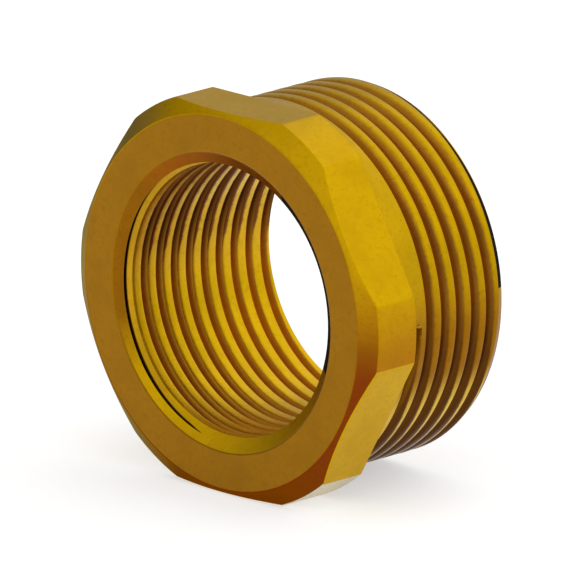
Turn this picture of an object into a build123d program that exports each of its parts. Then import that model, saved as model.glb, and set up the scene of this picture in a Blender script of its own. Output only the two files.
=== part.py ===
from build123d import *
import math
import os

os.makedirs("parts", exist_ok=True)

# All sizes are in millimetres.
# The bushing lies on a flat of its hexagon, with its axis along Y and Z pointing up.
# Y = 0 is the front face of the head, and the male thread points toward +Y.

# Hexagon head, turned round first, so its six corners stay round
flat_gap = 43.0  # across the flats, where the spanner grips
corner_diameter = 46.0  # across the round corners
head_length = 7.0
face_diameter = 42.0  # flat front face, inside the chamfer
face_chamfer = 1.3  # how far the chamfer reaches down the corners

# Body behind the head
body_length = 22.6  # front face to far end
end_chamfer = 0.6
end_chamfer_angle = 30.0  # degrees from the axis

# Male thread, G 1 1/4, right-handed
male_diameter = 41.91  # over the crests
pitch = 25.4 / 11
flank_angle = 27.5  # degrees, half of the 55 degree thread angle
groove_depth = 1.15  # cut shallow, which leaves broad flat crests
groove_root = 0.2  # width of the groove's bottom
collar_length = 1.9  # plain collar from the head to the middle of the groove's start

# Bore for the female thread, G 1, plain inside its crests
bore_diameter = 30.291
mouth_diameter = 33.66  # countersunk mouth, at the front face
mouth_angle = 52.5  # degrees from the axis

# Values that follow from those above
flank_lean = math.tan(math.radians(flank_angle))
end_lean = math.tan(math.radians(end_chamfer_angle))
male_radius = male_diameter / 2
root_radius = male_radius - groove_depth
bore_radius = bore_diameter / 2
corner_radius = corner_diameter / 2
face_radius = face_diameter / 2
mouth_radius = mouth_diameter / 2
countersink_depth = mouth_radius / math.tan(math.radians(mouth_angle))  # to the cone's point
groove_start = head_length + collar_length
spare = 2 * pitch  # bar left beyond both ends until the thread is cut
clearance = 0.4  # how far a cutter stands clear of what it cuts
cutter_height = groove_depth + clearance


def half_width(rise):
    """Half the width of the thread groove at this distance above its bottom."""
    return groove_root / 2 + rise * flank_lean


# Helix of the groove's bottom, from the +X side of the collar into the spare bar
groove_base = Plane(origin=(0, groove_start, 0), x_dir=(1, 0, 0), z_dir=(0, 1, 0))
groove_path = groove_base * Helix(pitch, body_length + pitch - groove_start, root_radius)

with BuildPart() as hex_bushing:
    # Bar turned to the head and the thread's outside, and bored through
    with BuildSketch(Plane.YZ) as bar_section:
        with BuildLine():
            Polyline(
                (-spare, bore_radius),
                (-spare, corner_radius),
                (head_length, corner_radius),
                (head_length, male_radius),
                (body_length + spare, male_radius),
                (body_length + spare, bore_radius),
                close=True,
            )
        make_face()
    revolve(axis=Axis.Y)

    # Thread groove
    with BuildSketch(Plane(origin=groove_path @ 0, x_dir=(1, 0, 0), z_dir=groove_path % 0)) as groove_section:
        with BuildLine():
            Polyline(
                (0, -half_width(0)),
                (cutter_height, -half_width(cutter_height)),
                (cutter_height, half_width(cutter_height)),
                (0, half_width(0)),
                close=True,
            )
        make_face()
    sweep(path=groove_path, is_frenet=True, mode=Mode.SUBTRACT)

    # Round end where the cutter plunged in
    with Locations(Plane(origin=groove_path @ 0, z_dir=(1, 0, 0))):
        Cone(
            half_width(0),
            half_width(cutter_height),
            cutter_height,
            align=(Align.CENTER, Align.CENTER, Align.MIN),
            mode=Mode.SUBTRACT,
        )

    # Front end faced, chamfered and countersunk
    with BuildSketch(Plane.YZ) as front_cut:
        with BuildLine():
            Polyline(
                (-spare - clearance, 0),
                (countersink_depth, 0),
                (0, mouth_radius),
                (0, face_radius),
                (2 * face_chamfer, 2 * corner_radius - face_radius),
                (-spare - clearance, 2 * corner_radius - face_radius),
                close=True,
            )
        make_face()
    revolve(axis=Axis.Y, mode=Mode.SUBTRACT)

    # Far end cut off and chamfered
    with BuildSketch(Plane.YZ) as far_cut:
        with BuildLine():
            Polyline(
                (body_length + spare + clearance, 0),
                (body_length, 0),
                (body_length, male_radius - end_chamfer * end_lean),
                (body_length - 2 * end_chamfer, male_radius + end_chamfer * end_lean),
                (body_length + spare + clearance, male_radius + end_chamfer * end_lean),
                close=True,
            )
        make_face()
    revolve(axis=Axis.Y, mode=Mode.SUBTRACT)

    # Six flats milled along the head
    with BuildSketch(Plane.XZ) as milled_section:
        Circle(corner_diameter)
        RegularPolygon(flat_gap / 2, 6, major_radius=False, mode=Mode.SUBTRACT)
    extrude(amount=-head_length, mode=Mode.SUBTRACT)

hex_bushing.part.label = "hex_bushing"
export_step(hex_bushing.part, "parts/hex_bushing.step")
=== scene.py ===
"""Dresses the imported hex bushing: the threaded brass piece, a studio round it and the camera."""

import math

import bmesh
import bpy
import numpy as np
from bpy.props import FloatProperty, FloatVectorProperty, PointerProperty
from mathutils import Matrix, Vector


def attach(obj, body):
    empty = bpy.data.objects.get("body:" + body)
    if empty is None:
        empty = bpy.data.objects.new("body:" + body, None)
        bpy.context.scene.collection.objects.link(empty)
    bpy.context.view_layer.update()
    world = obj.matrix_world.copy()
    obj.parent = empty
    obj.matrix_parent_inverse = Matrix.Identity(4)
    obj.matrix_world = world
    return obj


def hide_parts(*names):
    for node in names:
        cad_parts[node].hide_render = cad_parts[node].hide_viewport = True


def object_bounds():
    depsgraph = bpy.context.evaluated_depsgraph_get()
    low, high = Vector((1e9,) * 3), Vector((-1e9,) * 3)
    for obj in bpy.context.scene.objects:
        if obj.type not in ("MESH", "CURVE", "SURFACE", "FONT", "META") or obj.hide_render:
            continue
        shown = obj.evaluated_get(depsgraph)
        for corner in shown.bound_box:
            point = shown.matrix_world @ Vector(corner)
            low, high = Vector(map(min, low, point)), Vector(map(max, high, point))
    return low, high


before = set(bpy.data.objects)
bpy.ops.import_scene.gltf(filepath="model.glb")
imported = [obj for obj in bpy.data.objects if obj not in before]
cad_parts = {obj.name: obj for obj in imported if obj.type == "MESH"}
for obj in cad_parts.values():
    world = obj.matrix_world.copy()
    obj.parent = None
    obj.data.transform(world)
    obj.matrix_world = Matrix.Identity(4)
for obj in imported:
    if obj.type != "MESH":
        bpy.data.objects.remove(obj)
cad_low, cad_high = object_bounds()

bl_info = {
    "name": "Hex bushing",
    "version": (1, 0, 0),
    "blender": (4, 5, 0),
    "location": "3D View > Sidebar > Bushing",
    "description": "Builds the threaded brass of a hex bushing over its CAD frame, with its studio",
    "category": "Object",
}

MM = 0.001
ROOT = "root"
NODE = "hex_bushing"

# Sizes of the bushing that the CAD part also has, in millimetres. The axis is Y.
# Angles round the axis are counted from the top, clockwise as the head is seen.
PITCH = 25.4 / 11
FLANK_LEAN = math.tan(math.radians(27.5))
GROOVE_ROOT = 0.2  # width of a groove's bottom
FLAT_GAP = 43.0
FACE_RADIUS = 21.0
FACE_LEAN = 0.65  # of the front chamfer, along the axis for each millimetre outward
HEAD_LENGTH = 7.0
MALE_RADIUS = 20.955
MALE_DEPTH = 1.15
START_TURN = 90.0  # degrees round, where the grooves' places are given
BORE_RADIUS = 15.1455
MOUTH_RADIUS = 16.83
MOUTH_LEAN = math.tan(math.radians(52.5))
BODY_LENGTH = cad_high.y / MM
CORNER_RADIUS = cad_high.x / MM

# Sizes that only the visual piece has
MALE_START = 8.98  # centre of the male groove at START_TURN
FEMALE_DEPTH = 0.85
FEMALE_ROOT = 0.25  # width of a groove's bottom
FEMALE_START = 2.17  # centre of the female groove at START_TURN
PLUNGE_TURN = 92.2  # degrees round, where the cutter plunged in to begin the male groove
PLUNGE_DEPTH = 1.0  # how deep it went in there
PLUNGE_RUN = 20.0  # degrees round over which the groove then deepens
PLUNGE_DRIFT = 0.25  # how much further along the axis it begins than the helix would
CRISP_EDGE = 0.04  # how far each crest's edge towards the male end is softened
MALE_DOWN_FLANK = 0.36  # how far the crest's other edge is softened down its flank
FEMALE_DOWN_FLANK = 0.1
RUN_OUT = (21.9, 22.45)  # where along the axis the last male groove grows shallow
RUN_OUT_DEPTH = 0.35
END_CHAMFER = 0.8  # length of the far end's chamfer along the axis
END_LEAN = 0.43  # how far it leans in for each millimetre along
PAINTED_BLACK_MOUTH = (32.0, 107.0)  # degrees round between which the countersink is painted black, a painted dark reflection
PAINTED_BLACK_END = (-20.0, 86.0)  # degrees round between which the far end's chamfer is painted black, a painted dark reflection
BACK_EDGE = 0.03  # how far the edges at the back of the hexagon are softened
COLUMN_STEP = 1.0  # degrees round from one slice to the next
CLOSEST_SLICES = 0.04  # degrees; slices nearer than this are one
START_SLICES = 9  # slices across the male groove's round start
EDGE_STEPS = 3  # flat steps across each softened edge


def srgb(code):
    """Linear colour, with alpha, of an sRGB hex value such as "c8960c"."""
    channels = [int(code[i : i + 2], 16) / 255 for i in (0, 2, 4)]
    linear = [c / 12.92 if c <= 0.04045 else ((c + 0.055) / 1.055) ** 2.4 for c in channels]
    return (*linear, 1.0)


def node(tree, kind, inputs=(), **settings):
    """Adds a shader node with its settings. Each input is given a value, or a link from another socket."""
    made = tree.nodes.new(kind)
    for name, value in settings.items():
        setattr(made, name, value)
    for socket, value in dict(inputs).items():
        if isinstance(value, bpy.types.NodeSocket):
            tree.links.new(value, made.inputs[socket])
        else:
            made.inputs[socket].default_value = value
    return made


# Form of the brass


def columns():
    """Angles of the slices round the axis, in degrees, close together at the edges of the flats and at the
    male groove's start."""
    half_flat = math.degrees(math.acos(FLAT_GAP / 2 / CORNER_RADIUS))
    ease = 0.25  # how far the slices stand off each edge of a flat
    turns = []
    for side in range(6):
        middle = 60 * side
        for start, end in (
            (middle - half_flat, middle + half_flat),
            (middle + half_flat, middle + 60 - half_flat),
        ):
            count = round((end - start - 2 * ease) / COLUMN_STEP)
            turns.extend(np.linspace(start + ease, end - ease, count + 1))
    # the groove's round start needs slices that crowd towards its tip
    round_start = math.degrees((GROOVE_ROOT / 2 + PLUNGE_DEPTH * FLANK_LEAN) / MALE_RADIUS)
    turns.extend(PLUNGE_TURN - round_start * np.linspace(0, 1, START_SLICES) ** 0.5)
    turns = np.unique(np.round(np.array(turns) % 360, 3))
    keep = np.append(True, np.diff(turns) > CLOSEST_SLICES)
    return turns[keep]


def smooth(share):
    """Eases a share from 0 to 1."""
    share = np.clip(share, 0, 1)
    return share**2 * (3 - 2 * share)


def bend(first, corner, last):
    """Points of a curve from first to last, which leaves and arrives in line with the corner."""
    steps = np.linspace(0, 1, EDGE_STEPS + 1)
    return [(1 - s) ** 2 * first + 2 * s * (1 - s) * corner + s**2 * last for s in steps]


def eased(corner, before, after, reach):
    """Points across a softened edge. All are (slices, 2) arrays of radius and place along the axis."""
    towards_before = before - corner
    towards_after = after - corner
    first = corner + reach * towards_before / np.linalg.norm(towards_before, axis=1)[:, None]
    last = corner + reach * towards_after / np.linalg.norm(towards_after, axis=1)[:, None]
    return bend(first, corner, last)


def half_groove(root, depth, down, along):
    """Distances from a groove's centre line, and the rise above its bottom at each, up to a crest.
    The crest's edge is softened by down on the flank and by along on the crest."""
    top = np.array([root / 2 + depth * FLANK_LEAN, depth])
    down_flank = np.array([-FLANK_LEAN, -1.0]) / math.hypot(FLANK_LEAN, 1)
    points = [np.array([root / 2, 0.0])]
    points.extend(bend(top + down * down_flank, top, top + np.array([along, 0.0])))
    return np.array(points).T


def thread_rows(turns, start, root, depth, soft, grooves, male=False):
    """Places along the axis and rises above the groove's bottom of a thread's rows, as (slices, rows) arrays.
    Soft is how far the crests' edges towards the head are softened, down the flank and along the crest. The
    male groove begins round, as its cutter went in, and ends shallow."""
    near = half_groove(root, depth, CRISP_EDGE, CRISP_EDGE)
    far = half_groove(root, depth, *soft)
    along, up = [], []
    for groove in grooves:
        turned = turns + 360 * groove - START_TURN
        centre = start + PITCH * turned / 360
        before = np.zeros(len(turns))
        lift = np.zeros(len(turns))
        if male:
            cut = turned - (PLUNGE_TURN - START_TURN)  # degrees since the plunge
            before = np.radians(np.maximum(0, -cut)) * MALE_RADIUS
            begun = 1 - smooth(cut / PLUNGE_RUN)
            centre = centre + PLUNGE_DRIFT * begun
            lift = (depth - PLUNGE_DEPTH) * begun
            lift += (depth - RUN_OUT_DEPTH) * smooth((centre - RUN_OUT[0]) / (RUN_OUT[1] - RUN_OUT[0]))
        for side, reach in ((-1, near[0]), (1, far[0])):
            for width in reach[::side]:
                shift = np.where(before < reach[-1], np.sqrt(np.maximum(width**2 - before**2, 0)), width)
                away = np.hypot(shift, before)
                share = 0.5 + 0.5 * side * shift / away
                along.append(centre + side * shift)
                up.append((1 - share) * np.interp(away, *near) + share * np.interp(away, *far) + lift)
    return np.array(along).T, np.array(up).T


def cut_by(along, radius, line, smaller):
    """Adds a row wherever the section may cross a straight cut, and takes the cut's side of it."""
    gap = radius - line(along)
    near, far = gap[:, :-1], gap[:, 1:]
    crosses = near * far < 0
    share = np.where(crosses, near / np.where(crosses, near - far, 1), np.abs(near) >= np.abs(far))
    new_along = np.empty((along.shape[0], 2 * along.shape[1] - 1))
    new_radius = np.empty_like(new_along)
    new_along[:, ::2] = along
    new_radius[:, ::2] = radius
    new_along[:, 1::2] = along[:, :-1] + share * np.diff(along, axis=1)
    new_radius[:, 1::2] = radius[:, :-1] + share * np.diff(radius, axis=1)
    limit = line(new_along)
    return new_along, np.minimum(new_radius, limit) if smaller else np.maximum(new_radius, limit)


def on_line(along, radius, line):
    """Which rows lie on a cut's line with the row after them."""
    on = np.abs(radius - line(along)) < 0.01
    on[:, :-1] &= on[:, 1:]
    return on


def ended(along, radius, low, high):
    """Brings every row that lies past an end of the thread to that end."""
    for i in range(len(along)):
        place = np.clip(along[i], low, high)
        radius[i] = np.interp(place, along[i], radius[i])
        along[i] = place
    return along, radius


class Skin:
    """Vertices and faces of the bushing's surface, in strips of rows round the axis."""

    def __init__(self, turns):
        self.turns = turns
        self.points = []
        self.faces = []
        self.finishes = []

    def strip(self, along, radius, finish, shift=0):
        """Adds a strip of (slices, rows) arrays. A thread's last slice meets its first one shift rows on."""
        slices, rows = along.shape
        sine = np.sin(np.radians(self.turns))[:, None]
        cosine = np.cos(np.radians(self.turns))[:, None]
        offset = sum(len(p) for p in self.points)
        self.points.append(np.stack([radius * sine, along, radius * cosine], -1).reshape(-1, 3) * MM)
        index = offset + np.arange(slices * rows).reshape(slices, rows)
        for i in range(slices):
            if i + 1 < slices:
                here, there = index[i], index[i + 1]
                finish_here = finish[i]
            else:
                here, there = index[i][: rows - shift], index[0][shift:]
                finish_here = finish[i][: rows - shift - 1]
            quads = np.stack([here[:-1], here[1:], there[1:], there[:-1]], -1)
            self.faces.append(quads)
            self.finishes.append(finish_here[: len(quads)])

    def mesh(self, name):
        """The welded mesh."""
        mesh = bpy.data.meshes.new(name)
        mesh.from_pydata(np.concatenate(self.points).tolist(), [], np.concatenate(self.faces).tolist())
        mesh.polygons.foreach_set("material_index", np.concatenate(self.finishes).astype(np.int32))
        work = bmesh.new()
        work.from_mesh(mesh)
        bmesh.ops.remove_doubles(work, verts=work.verts, dist=0.002 * MM)
        bmesh.ops.dissolve_degenerate(work, dist=0.001 * MM, edges=work.edges)
        bmesh.ops.recalc_face_normals(work, faces=work.faces)
        for face in work.faces:
            face.smooth = True
        work.to_mesh(mesh)
        work.free()
        mesh.set_sharp_from_angle(angle=math.radians(30))
        return mesh


# the last slot is a painted black reflection, not a finish of the brass
FACED, MILLED, BAR, MALE, FEMALE, CHAMFER, COUNTERSINK, PAINTED_BLACK = range(8)  # material slots of the brass


def add_head(skin, soft_edge):
    """Adds the head, from the mouth to the shoulder's foot, and returns where the mouth's edge starts."""
    turns = skin.turns
    count = len(turns)

    def at(radius, along):
        return np.stack([np.broadcast_to(radius, count), np.broadcast_to(along, count)], -1).astype(float)

    from_flat = (turns + 30) % 60 - 30
    head_radius = np.minimum(CORNER_RADIUS, FLAT_GAP / 2 / np.cos(np.radians(from_flat)))
    on_flat = head_radius < CORNER_RADIUS - 0.001
    into_mouth = at(MOUTH_RADIUS - MOUTH_LEAN, 1.0)
    mouth = at(MOUTH_RADIUS, 0.0)
    face = at(FACE_RADIUS, 0.0)
    brow = at(head_radius, (head_radius - FACE_RADIUS) * FACE_LEAN)
    back = at(head_radius, HEAD_LENGTH)
    foot = at(MALE_RADIUS, HEAD_LENGTH)
    rows = []
    kinds = []
    for corner, before, after, reach, finish in (
        (mouth, into_mouth, face, soft_edge, FACED),
        (face, mouth, brow, soft_edge, CHAMFER),
        (brow, face, back, soft_edge, BAR),
        (back, brow, foot, BACK_EDGE, FACED),
    ):
        rows.extend(eased(corner, before, after, reach))
        kinds.extend([finish] * (EDGE_STEPS + 1))
    rows.append(foot)
    rows = np.array(rows)
    finish = np.tile(np.array(kinds), (count, 1))
    touches_flat = np.maximum(on_flat, np.roll(on_flat, -1))
    finish[touches_flat] = np.where(finish[touches_flat] == BAR, MILLED, finish[touches_flat])
    skin.strip(rows[:, :, 1].T, rows[:, :, 0].T, finish)
    return rows[0, 0, 1]


def add_male_thread(skin, crest_edge):
    """Adds the collar and the male thread, and returns its radius at the far end."""
    grooves = range(-2, 8)  # with spare ones past both ends
    soft = (MALE_DOWN_FLANK, crest_edge)
    along, rise = thread_rows(skin.turns, MALE_START, GROOVE_ROOT, MALE_DEPTH, soft, grooves, male=True)
    turn_rows = along.shape[1] // len(grooves)
    radius = MALE_RADIUS - MALE_DEPTH + rise

    def crest_line(y):
        return np.full_like(y, MALE_RADIUS)

    def chamfer_line(y):
        return MALE_RADIUS - (y - BODY_LENGTH + END_CHAMFER) * END_LEAN

    for line in (crest_line, chamfer_line):
        along, radius = cut_by(along, radius, line, True)
        turn_rows *= 2
    along, radius = ended(along, radius, HEAD_LENGTH, BODY_LENGTH)
    # painted dark reflection: the far end's chamfer is painted black between the given angles
    on_chamfer = on_line(along, radius, chamfer_line) & (along > BODY_LENGTH - END_CHAMFER - 0.01)
    unpainted_slices = (skin.turns > PAINTED_BLACK_END[1]) & (skin.turns < 360 + PAINTED_BLACK_END[0])
    on_chamfer[unpainted_slices] = False
    skin.strip(along, radius, np.where(on_chamfer, PAINTED_BLACK, MALE), turn_rows)
    return radius[:, -1]


def add_female_thread(skin, crest_edge, mouth_start):
    """Adds the countersink and the female thread, and returns its radius at the far end."""
    grooves = range(-3, 11)  # with spare ones past both ends
    soft = (FEMALE_DOWN_FLANK, crest_edge)
    along, rise = thread_rows(skin.turns, FEMALE_START, FEMALE_ROOT, FEMALE_DEPTH, soft, grooves)
    turn_rows = 2 * (along.shape[1] // len(grooves))

    def countersink_line(y):
        return MOUTH_RADIUS - y * MOUTH_LEAN

    along, radius = cut_by(along, BORE_RADIUS + FEMALE_DEPTH - rise, countersink_line, False)
    along, radius = ended(along, radius, mouth_start, BODY_LENGTH)
    on_countersink = on_line(along, radius, countersink_line)
    finish = np.where(on_countersink, COUNTERSINK, FEMALE)
    # painted dark reflection: the countersink is painted black between the given angles
    black_slices = (skin.turns > PAINTED_BLACK_MOUTH[0]) & (skin.turns < PAINTED_BLACK_MOUTH[1])
    finish[on_countersink & black_slices[:, None]] = PAINTED_BLACK
    skin.strip(along, radius, finish, turn_rows)
    return radius[:, -1]


def brass_mesh(soft_edge, male_crest_edge, female_crest_edge):
    """The whole bushing as one closed mesh."""
    skin = Skin(columns())
    mouth_start = add_head(skin, soft_edge)
    male_end = add_male_thread(skin, male_crest_edge)
    female_end = add_female_thread(skin, female_crest_edge, mouth_start)
    far_end = np.stack([male_end, female_end], -1)
    skin.strip(np.full_like(far_end, BODY_LENGTH), far_end, np.full(far_end.shape, FACED))
    return skin.mesh("threaded_brass")


# Finishes


def remap(tree, value, start, end, low=0.0, high=1.0, soft=False):
    """Takes a value from between start and end to between low and high, with eased ends where it is soft."""
    inputs = {"Value": value, "From Min": start, "From Max": end, "To Min": low, "To Max": high}
    curve = "SMOOTHSTEP" if soft else "LINEAR"
    return node(tree, "ShaderNodeMapRange", inputs, interpolation_type=curve).outputs[0]


def reckon(tree, operation, *values):
    """Works out a sum, product or comparison of up to three values."""
    return node(tree, "ShaderNodeMath", dict(enumerate(values)), operation=operation).outputs[0]


def mixed(tree, share, first, second):
    """A colour that goes from the first to the second as share goes from 0 to 1."""
    return node(tree, "ShaderNodeMix", {0: share, 6: first, 7: second}, data_type="RGBA").outputs[2]


def new_material(name):
    """A material and its empty node tree."""
    material = bpy.data.materials.new(name)
    material.use_nodes = True
    material.node_tree.nodes.clear()
    return material, material.node_tree


# Dried oil in the threads' grooves, with painted shade: the grooves are darkened as a shaded recess would be,
# and the colours follow which way a face looks. Radii are those of a flank's top and of the bottom, in
# millimetres. The oil covers what tilts from a crest by more than ENDS_ABOVE. As a face's normal turns down
# through the spread lean, it spreads over the crests, to the tilts in ends_below: a painted shade on the side
# that looks down. The darker and the lighter oil are its colours on the side that looks up, the lighter one a
# painted light. The hung colours, one at a flank's top and one at the bottom, are painted shade on the side
# that looks down. Wiped is where along the axis the grooves stop being wiped, which leaves less oil.
MALE_OIL_AND_SHADE = {
    "radii": (20.75, 20.2),
    "shade_spread_lean": (0.1, -0.8),
    "ends_below": (0.03, 0.12),
    "darker_oil": "80541a",
    "lighter_oil": "ac741e",
    "hung_shade_top": "583410",
    "hung_shade_bottom": "704416",
    "wiped": (9.85, 10.1),
}
FEMALE_OIL_AND_SHADE = {
    "radii": (15.2, 15.7),
    "shade_spread_lean": (0.15, -0.2),
    "ends_below": (0.06, 0.14),
    "darker_oil": "b47e26",
    "lighter_oil": "c48828",
    "hung_shade_top": "6a3e18",
    "hung_shade_bottom": "6a3e18",
    "wiped": (1.8, 2.2),
}
ENDS_ABOVE = (0.45, 0.95)
HANGING_LEAN = (0.1, -0.2)  # how a face's normal turns down while its oil changes to the painted shade of a hanging side
LIGHTER_LEAN = (0.45, 0.15)  # how it turns down while the oil that stands on it goes from lighter, a painted light, to darker
RAGGED = (0.3, 0.08)  # how much the dents upset the oil's edge, on the side that looks up and on the other
WIPE_LEFT = 0.3  # share of the oil left where it was wiped
WIPE_SLANT = 0.04  # how much further along the grooves were wiped for each millimetre up
SHADOW_RADII = (15.74, 15.84)  # radii between which the first female groove turns black, a painted shadow
SHADOW_END = 1.6  # place along the axis up to which it does
SHADOW_LEAN = (-0.2, -0.5)  # how a face's normal turns down while that black fades
BOTTOM = 0.95  # share of a groove's depth below which all of it is oiled

# How a face's normal turns while its colour changes to that of a face below, or of one on the left: painted
# shade and painted reflection
BELOW_LEAN = (-0.3, -0.55)
LEFT_LEAN = (-0.15, -0.42)


def oil_and_painted_shade(tree, colour, oil_and_shade, place, radius, normal, dents):
    """A colour with a thread's dried oil and painted shade over it. It lies in the grooves, the painted shade
    of a recess, ends ragged on the crests, and reaches further over them on the side that looks down, a
    painted shade too."""
    facing = normal["Z"]
    hanging = remap(tree, facing, *HANGING_LEAN, soft=True)
    shade_spread = remap(tree, facing, *oil_and_shade["shade_spread_lean"], soft=True)
    tilt = reckon(tree, "ABSOLUTE", normal["Y"])
    tilt = reckon(tree, "MULTIPLY_ADD", dents, remap(tree, hanging, 0.0, 1.0, *RAGGED), tilt)
    start, end = (
        remap(tree, shade_spread, 0.0, 1.0, above, below) for above, below in zip(ENDS_ABOVE, oil_and_shade["ends_below"])
    )
    flank = remap(tree, tilt, start, end, soft=True)
    deep = remap(tree, radius, *oil_and_shade["radii"])
    bottom = reckon(tree, "GREATER_THAN", deep, BOTTOM)
    cover = reckon(tree, "MAXIMUM", flank, bottom)
    slanted = reckon(tree, "MULTIPLY_ADD", place["Z"], -WIPE_SLANT, place["Y"])
    cover = reckon(tree, "MULTIPLY", cover, remap(tree, slanted, *oil_and_shade["wiped"], low=WIPE_LEFT))
    # it is lighter at the bottom, and on the faces that look most up: painted light
    lighter_oil = reckon(tree, "MAXIMUM", deep, remap(tree, facing, *LIGHTER_LEAN, 1.0, 0.0, soft=True))
    standing_oil_and_light = mixed(tree, lighter_oil, srgb(oil_and_shade["darker_oil"]), srgb(oil_and_shade["lighter_oil"]))
    # painted shade: the darker colours of the faces that look down
    hung_oil_shade = mixed(tree, deep, srgb(oil_and_shade["hung_shade_top"]), srgb(oil_and_shade["hung_shade_bottom"]))
    colour = mixed(tree, cover, colour, mixed(tree, hanging, standing_oil_and_light, hung_oil_shade))
    # a painted shadow: black at the bottom of the first female groove, but for the groove's upper side
    first_groove = reckon(tree, "LESS_THAN", place["Y"], SHADOW_END)
    first_groove = remap(tree, facing, *SHADOW_LEAN, first_groove, 0.0, soft=True)
    return mixed(tree, remap(tree, radius, *SHADOW_RADII, high=first_groove), colour, srgb("2a1808"))


def brass(
    name, above, beside, below, roughness, rings=False, lean=(0.3, -0.15), edge="ffffff", left="", oil_and_shade=None
):
    """Bare brass. Above, beside and below are its colours on the faces that look up, on those that lean just
    past upright, and on those that look down: painted shade and painted reflection, by which way a face
    looks.
    Lean is how far a face's normal turns down from the first to the second. Edge tints what is seen at a
    shallow angle, and left is the colour of the faces that look left, a painted reflection. The tool's marks
    are rings on a face, or else lines round the part. Oil is what dried in a thread, with the painted shade
    of its grooves."""
    material, tree = new_material(name)
    place = node(tree, "ShaderNodeTexCoord").outputs["Object"]
    place = node(tree, "ShaderNodeVectorMath", {0: place, 3: 1 / MM}, operation="SCALE").outputs[0]
    apart = node(tree, "ShaderNodeSeparateXYZ", {0: place}).outputs
    across = node(tree, "ShaderNodeCombineXYZ", {"X": apart["X"], "Z": apart["Z"]}).outputs[0]
    radius = node(tree, "ShaderNodeVectorMath", {0: across}, operation="LENGTH").outputs["Value"]
    normal = node(tree, "ShaderNodeNewGeometry").outputs["Normal"]
    normal = node(tree, "ShaderNodeSeparateXYZ", {0: normal}).outputs

    # tool marks 0.25 mm apart, a little coarser than the real feed, so that they show
    line = reckon(tree, "SUBTRACT", radius, apart["Y"]) if rings else apart["Y"]
    marks = {"W": line, "Scale": 4.0, "Detail": 2.0}
    marks = node(tree, "ShaderNodeTexNoise", marks, noise_dimensions="1D").outputs[0]
    # cloudy tarnish, 4 mm across
    cloud = node(tree, "ShaderNodeTexNoise", {"Vector": place, "Scale": 0.25, "Detail": 5.0}).outputs[0]
    # pits 0.25 mm across
    pits = node(tree, "ShaderNodeTexNoise", {"Vector": place, "Scale": 4.0, "Detail": 2.0}).outputs[0]
    # shallow dents, 0.7 mm across
    dents = {"Vector": place, "Scale": 1.4, "Detail": 3.0, "Distortion": 0.8}
    dents = node(tree, "ShaderNodeTexNoise", dents).outputs[0]

    # painted shade and painted reflection: the colour changes with which way a face looks, up, past upright
    # or down
    colour = mixed(tree, remap(tree, normal["Z"], *lean, soft=True), srgb(above), srgb(beside))
    colour = mixed(tree, remap(tree, normal["Z"], *BELOW_LEAN, soft=True), colour, srgb(below))
    if oil_and_shade:
        colour = oil_and_painted_shade(tree, colour, oil_and_shade, apart, radius, normal, dents)
    # painted reflection: another colour on the faces that look left
    if left:
        colour = mixed(tree, remap(tree, normal["X"], *LEFT_LEAN, soft=True), colour, srgb(left))
    # dirt in the pits, the dents and the cloudy tarnish
    dirt = remap(tree, pits, 0.64, 0.78, high=0.5)
    dirt = remap(tree, dents, 0.5, 0.8, dirt, 0.2)
    dirt = remap(tree, cloud, 0.45, 0.75, dirt, 0.1)
    colour = mixed(tree, dirt, colour, srgb("2a1606"))
    gloss = remap(tree, cloud, 0.3, 0.7, roughness - 0.03, roughness + 0.03)
    height = reckon(tree, "MULTIPLY_ADD", pits, 0.6, marks)
    bump = {"Height": height, "Strength": 0.25, "Distance": 0.01 * MM}
    finish = {
        "Base Color": colour,
        "Metallic": 1.0,
        "Roughness": gloss,
        "Specular Tint": srgb(edge),
        "Normal": node(tree, "ShaderNodeBump", bump).outputs[0],
    }
    shader = node(tree, "ShaderNodeBsdfPrincipled", finish).outputs[0]
    node(tree, "ShaderNodeOutputMaterial", {"Surface": shader})
    return material


def painted_dark_reflection(name, colour):
    """A painted dark reflection: a dull black skin where the brass would mirror dark surroundings."""
    material, tree = new_material(name)
    place = node(tree, "ShaderNodeTexCoord").outputs["Object"]
    # crumbs 0.5 mm across
    crumbs = {"Vector": place, "Scale": 2.0 / MM, "Detail": 3.0}
    crumbs = node(tree, "ShaderNodeTexNoise", crumbs).outputs[0]
    bump = {"Height": crumbs, "Strength": 0.3, "Distance": 0.02 * MM}
    finish = {
        "Base Color": srgb(colour),
        "Roughness": remap(tree, crumbs, 0.0, 1.0, 0.6, 0.9),
        "Specular IOR Level": 0.05,
        "Normal": node(tree, "ShaderNodeBump", bump).outputs[0],
    }
    shader = node(tree, "ShaderNodeBsdfPrincipled", finish).outputs[0]
    node(tree, "ShaderNodeOutputMaterial", {"Surface": shader})
    return material


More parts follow.
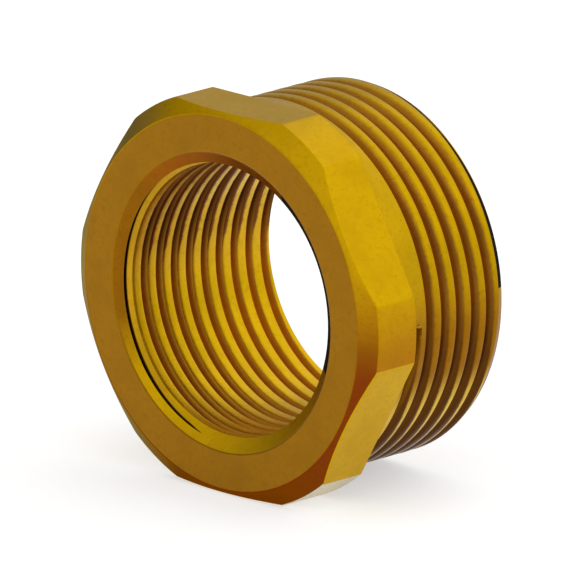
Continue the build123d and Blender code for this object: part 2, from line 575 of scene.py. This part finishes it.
def finishes(rough):
    """The bushing's materials, in the order of its slots."""
    return (
        # brass faced on a lathe: fine rings, dull and brown beside the cut flats
        brass("faced_brass", "98690d", "98690d", "98690d", rough, rings=True),
        # brass milled across a flat: bright and even
        brass("milled_brass", "c89d04", "c89d04", "c89d04", rough, edge="f6f2e4"),
        # the turned outside of the bar, left between the flats: painted shade just past upright, and a pale
        # painted reflection where it looks down
        brass("bar_brass", "c89d04", "ac730a", "d8d0bc", rough, edge="f6f2e4"),
        # cut threads, with cutting oil dried brown in the grooves, and painted shade: darker in the grooves
        # and on faces past upright, paler where they look down
        brass("male_thread_brass", "c19804", "96640a", "d8b438", rough, oil_and_shade=MALE_OIL_AND_SHADE),
        brass("female_thread_brass", "d2a60a", "cda020", "d8b040", rough, oil_and_shade=FEMALE_OIL_AND_SHADE),
        # the head's chamfer and the mouth's countersink, burnished by a form tool. Their deep red brown where
        # they lean past upright and look down is painted shade, and the chamfer's grey on faces that look
        # left a painted reflection
        brass(
            "chamfer_brass",
            "d0a20a",
            "80380c",
            "81420c",
            rough,
            rings=True,
            edge="cfc49a",
            left="8f7a50",
        ),
        brass(
            "countersunk_brass",
            "d0a20a",
            "905d0e",
            "9c580e",
            rough,
            rings=True,
            lean=(0.45, 0.1),
            edge="ece6d0",
        ),
        # painted black reflection on the far end's chamfer and the countersink
        painted_dark_reflection("painted_black_reflection", "0c0906"),
    )


class BushingSettings(bpy.types.PropertyGroup):
    """What a user would change on the brass."""

    soft_edge: FloatProperty(
        name="Soft edge",
        description="How far the head's edges are softened, on each side of an edge",
        default=0.12 * MM,
        min=0.0,
        unit="LENGTH",
    )
    male_crest_edge: FloatProperty(
        name="Male crest edge",
        description="How far along each male crest its edge towards the head is softened",
        default=0.58 * MM,
        min=0.0,
        unit="LENGTH",
    )
    female_crest_edge: FloatProperty(
        name="Female crest edge",
        description="How far along each female crest its edge towards the mouth is softened",
        default=0.9 * MM,
        min=0.0,
        unit="LENGTH",
    )
    roughness: FloatProperty(
        name="Roughness",
        description="Roughness of the machined brass",
        default=0.36,
        min=0.1,
        max=1.0,
        subtype="FACTOR",
    )


class StudioSettings(bpy.types.PropertyGroup):
    """What a user would change in the studio."""

    floor_colour: FloatVectorProperty(
        name="Floor colour",
        description="Colour of the pale floor",
        default=srgb("dadada")[:3],
        size=3,
        min=0.0,
        max=1.0,
        subtype="COLOR",
    )
    lamp_level: FloatProperty(
        name="Lamp level",
        description="Brightness of the soft lamps, where 1 is their plain level",
        default=1.0,
        min=0.0,
    )
    world_level: FloatProperty(
        name="World level",
        description="Brightness of the studio's walls, where 1 is white",
        default=1.0,
        min=0.0,
    )


class OBJECT_OT_bushing_brass(bpy.types.Operator):
    """Build the threaded brass bushing over its CAD solid"""

    bl_idname = "object.bushing_brass"
    bl_label = "Threaded brass"

    def execute(self, context):
        settings = context.scene.bushing
        edges = (settings.soft_edge, settings.male_crest_edge, settings.female_crest_edge)
        mesh = brass_mesh(*(edge / MM for edge in edges))
        for material in finishes(settings.roughness):
            mesh.materials.append(material)
        piece = bpy.data.objects.new("threaded_brass", mesh)
        context.scene.collection.objects.link(piece)
        even = piece.modifiers.new("Even shading", "WEIGHTED_NORMAL")
        even.keep_sharp = True
        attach(piece, ROOT)
        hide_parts(NODE)
        return {"FINISHED"}


# Studio

AIM = Vector((-0.133, 10.876, -0.738)) * MM  # what the middle of the picture looks at
AZIMUTH = math.radians(44.945)
ELEVATION = math.radians(15.593)
ROLL = math.radians(-0.071)
DISTANCE = 2.5
VIEW_WIDTH = 63.35 * MM  # width of the picture at AIM
FLOOR_REACH = 3.0  # how far the floor goes each way
FLOOR_LIFT = 0.5  # light added to the paper, which takes it to white
BRIGHT_WAY = (0.77, 0.0, 0.64)  # towards the brightest of the walls
BRIGHT_WALL = srgb("f9f9f9")
DIM_WALL = srgb("959390")
WALL_NEARNESS = (-0.64, 0.5)  # how near to that way a wall lies, as it goes from dim to bright


def soft_lamp(context, name, place, size, energy, colour=(1.0, 1.0, 1.0)):
    """A square area lamp that faces the bushing."""
    data = bpy.data.lights.new(name, "AREA")
    data.shape = "SQUARE"
    data.size = size
    data.energy = energy
    data.color = colour
    lamp = bpy.data.objects.new(name, data)
    lamp.location = place
    lamp.rotation_euler = (AIM - Vector(place)).to_track_quat("-Z", "Y").to_euler()
    context.scene.collection.objects.link(lamp)
    return lamp


def pale_floor(name, colour):
    """White studio paper, lifted to white where the camera or the brass sees it. It keeps its shadow."""
    material, tree = new_material(name)
    paper = node(tree, "ShaderNodeBsdfDiffuse", {"Color": (*colour, 1.0)}).outputs[0]
    path = node(tree, "ShaderNodeLightPath").outputs
    seen = reckon(tree, "MAXIMUM", path["Is Camera Ray"], path["Is Glossy Ray"])
    seen = reckon(tree, "MAXIMUM", seen, path["Is Transmission Ray"])
    lift = reckon(tree, "MULTIPLY", seen, FLOOR_LIFT)
    glow = node(tree, "ShaderNodeEmission", {"Color": srgb("ffffff"), "Strength": lift}).outputs[0]
    both = node(tree, "ShaderNodeAddShader", {0: paper, 1: glow}).outputs[0]
    node(tree, "ShaderNodeOutputMaterial", {"Surface": both})
    return material


class OBJECT_OT_bushing_studio(bpy.types.Operator):
    """Set up the pale floor, the soft lamps, the walls' light and the camera"""

    bl_idname = "object.bushing_studio"
    bl_label = "Studio"

    def execute(self, context):
        settings = context.scene.studio
        scene = context.scene
        scene.view_settings.view_transform = "Standard"

        # Camera
        level = math.cos(ELEVATION)
        back = Vector((math.sin(AZIMUTH) * level, -math.cos(AZIMUTH) * level, math.sin(ELEVATION)))
        data = bpy.data.cameras.new("camera")
        data.lens = data.sensor_width * DISTANCE / VIEW_WIDTH
        data.clip_end = 10
        camera = bpy.data.objects.new("camera", data)
        turn = back.to_track_quat("Z", "Y").to_matrix().to_4x4()
        camera.matrix_world = Matrix.Translation(AIM + DISTANCE * back) @ turn @ Matrix.Rotation(ROLL, 4, "Z")
        scene.collection.objects.link(camera)
        scene.camera = camera

        # Floor, at the lower flat
        mesh = bpy.data.meshes.new("floor")
        square = ((-1, -1), (1, -1), (1, 1), (-1, 1))
        corners = [(x * FLOOR_REACH, y * FLOOR_REACH, cad_low.z) for x, y in square]
        mesh.from_pydata(corners, [], [(0, 1, 2, 3)])
        mesh.materials.append(pale_floor("studio_paper", settings.floor_colour))
        floor = bpy.data.objects.new("floor", mesh)
        scene.collection.objects.link(floor)

        # Lamps
        level = settings.lamp_level
        soft_lamp(context, "key_lamp", (0.9, 0.6, 0.9), 1.0, 1.2 * level)
        soft_lamp(context, "top_lamp", (-0.1, 0.9, 1.05), 1.0, 1.2 * level)
        soft_lamp(context, "rim_lamp", (-0.9, 0.9, 0.45), 0.6, 0.14 * level)

        # Walls: white above and to the right, dim and warmer low on the left
        world = bpy.data.worlds.new("walls")
        world.use_nodes = True
        tree = world.node_tree
        tree.nodes.clear()
        towards = node(tree, "ShaderNodeTexCoord").outputs["Generated"]
        both = {0: towards, 1: BRIGHT_WAY}
        near = node(tree, "ShaderNodeVectorMath", both, operation="DOT_PRODUCT").outputs["Value"]
        colour = mixed(tree, remap(tree, near, *WALL_NEARNESS), DIM_WALL, BRIGHT_WALL)
        walls = node(tree, "ShaderNodeBackground", {"Color": colour, "Strength": settings.world_level})
        node(tree, "ShaderNodeOutputWorld", {"Surface": walls.outputs[0]})
        scene.world = world
        return {"FINISHED"}


class VIEW3D_PT_bushing(bpy.types.Panel):
    """Lists the operators and their settings"""

    bl_label = "Hex bushing"
    bl_space_type = "VIEW_3D"
    bl_region_type = "UI"
    bl_category = "Bushing"

    def draw(self, context):
        layout = self.layout
        for group, operator in (
            (context.scene.studio, OBJECT_OT_bushing_studio),
            (context.scene.bushing, OBJECT_OT_bushing_brass),
        ):
            box = layout.box()
            for name in group.__annotations__:
                box.prop(group, name)
            box.operator(operator.bl_idname)


CLASSES = (
    BushingSettings,
    StudioSettings,
    OBJECT_OT_bushing_brass,
    OBJECT_OT_bushing_studio,
    VIEW3D_PT_bushing,
)


def register():
    for kind in CLASSES:
        bpy.utils.register_class(kind)
    bpy.types.Scene.bushing = PointerProperty(type=BushingSettings)
    bpy.types.Scene.studio = PointerProperty(type=StudioSettings)


def unregister():
    del bpy.types.Scene.studio
    del bpy.types.Scene.bushing
    for kind in reversed(CLASSES):
        bpy.utils.unregister_class(kind)


def main():
    register()
    bpy.ops.object.bushing_studio()
    bpy.ops.object.bushing_brass()


if __name__ == "__main__":
    main()
